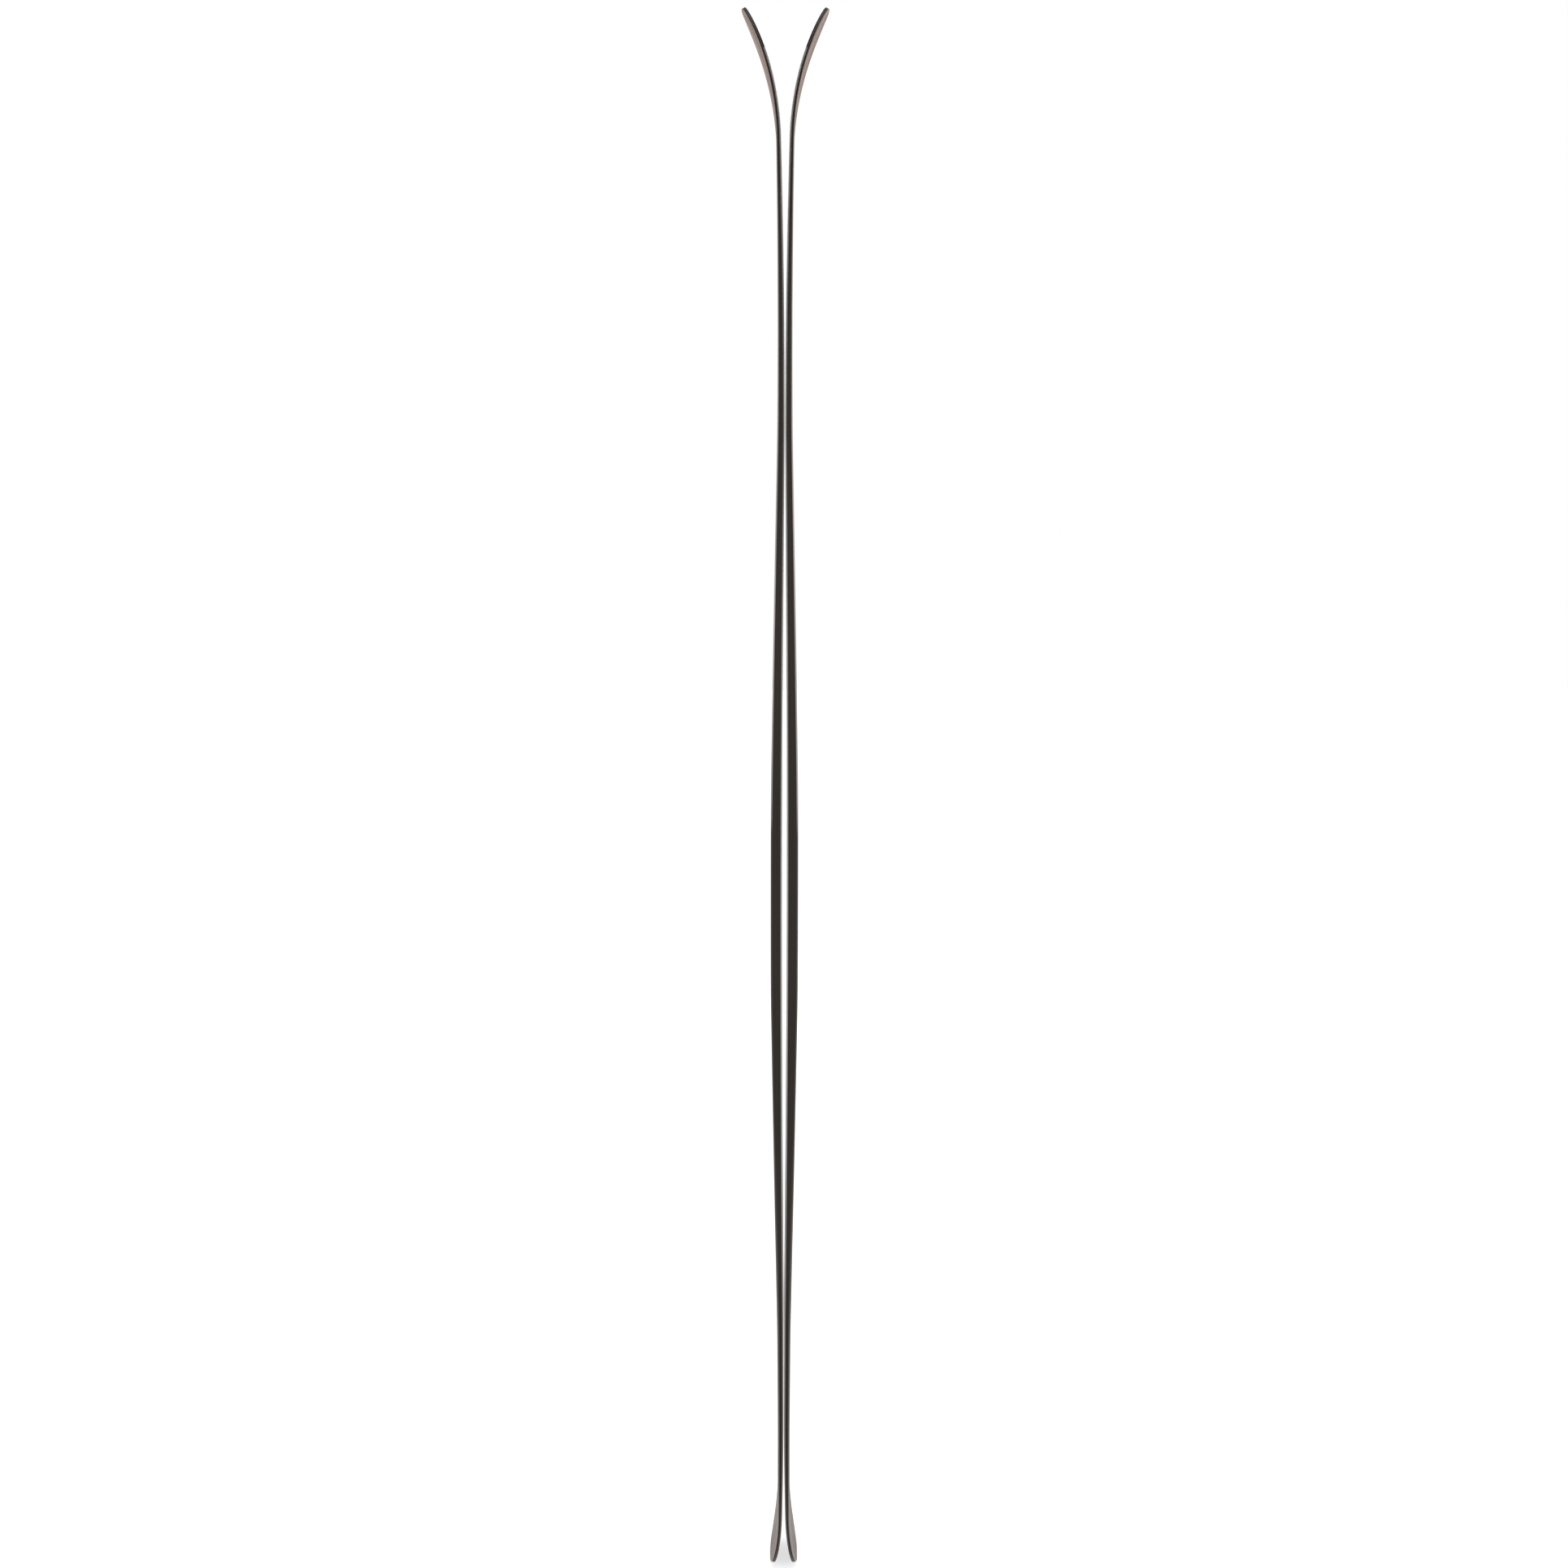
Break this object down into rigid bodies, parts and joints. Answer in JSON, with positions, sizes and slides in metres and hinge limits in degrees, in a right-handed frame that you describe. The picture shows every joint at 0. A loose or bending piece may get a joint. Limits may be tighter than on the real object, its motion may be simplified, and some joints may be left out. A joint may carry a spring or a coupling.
{
  "type": "pair of alpine skis",
  "caption": "Pair of alpine skis without bindings, standing base to base, with flared shovels, camber underfoot and short kicked tails.",
  "frame": {"origin": "middle of the line between the two tails' ends, where a ski rack carries the pair; the plane between the bases is X = 0", "axes": "+Z from the tails to the tips, +X out of the right ski's topsheet, Y across the skis with the inside edges at -Y"},
  "size_m": [0.0974, 0.13, 1.8398],
  "materials": {
    "topsheet": "satin mauve-grey polyamide film with fine lengthwise grain",
    "black_plastic": "milled black ABS",
    "base": "stone-ground black sintered polyethylene, waxed",
    "edge_steel": "ground carbon steel",
    "edge_rubber": "thin rubber foil",
    "laminate": "glass fibre in dark epoxy",
    "core_pale": "sawn poplar",
    "core_dark": "sawn beech",
    "binding_mat": "glass fibre mat in epoxy"
  },
  "bodies": {
    "left_ski": {"left_ski_base": "base", "left_ski_lower_laminate": "laminate", "left_ski_core_centre": "core_dark", "left_ski_tip_spacer": "black_plastic", "left_ski_tail_spacer": "black_plastic", "left_ski_binding_mat": "binding_mat", "left_ski_upper_laminate": "laminate", "left_ski_topsheet": "topsheet", "left_ski_inside_edge": "edge_steel", "left_ski_outside_edge": "edge_steel", "left_ski_inside_edge_rubber": "edge_rubber", "left_ski_outside_edge_rubber": "edge_rubber", "left_ski_inside_sidewall": "black_plastic", "left_ski_outside_sidewall": "black_plastic", "left_ski_inside_core_stringer": "core_pale", "left_ski_outside_core_stringer": "core_pale"},
    "right_ski": {"right_ski_base": "base", "right_ski_lower_laminate": "laminate", "right_ski_core_centre": "core_dark", "right_ski_tip_spacer": "black_plastic", "right_ski_tail_spacer": "black_plastic", "right_ski_binding_mat": "binding_mat", "right_ski_upper_laminate": "laminate", "right_ski_topsheet": "topsheet", "right_ski_inside_edge": "edge_steel", "right_ski_outside_edge": "edge_steel", "right_ski_inside_edge_rubber": "edge_rubber", "right_ski_outside_edge_rubber": "edge_rubber", "right_ski_inside_sidewall": "black_plastic", "right_ski_outside_sidewall": "black_plastic", "right_ski_inside_core_stringer": "core_pale", "right_ski_outside_core_stringer": "core_pale"}
  },
  "joints": [
    {"name": "right_ski_lift_off", "type": "slide", "parent": "left_ski", "child": "right_ski", "axis": [1, 0, 0], "range_m": [0, 0.3]}
  ]
}
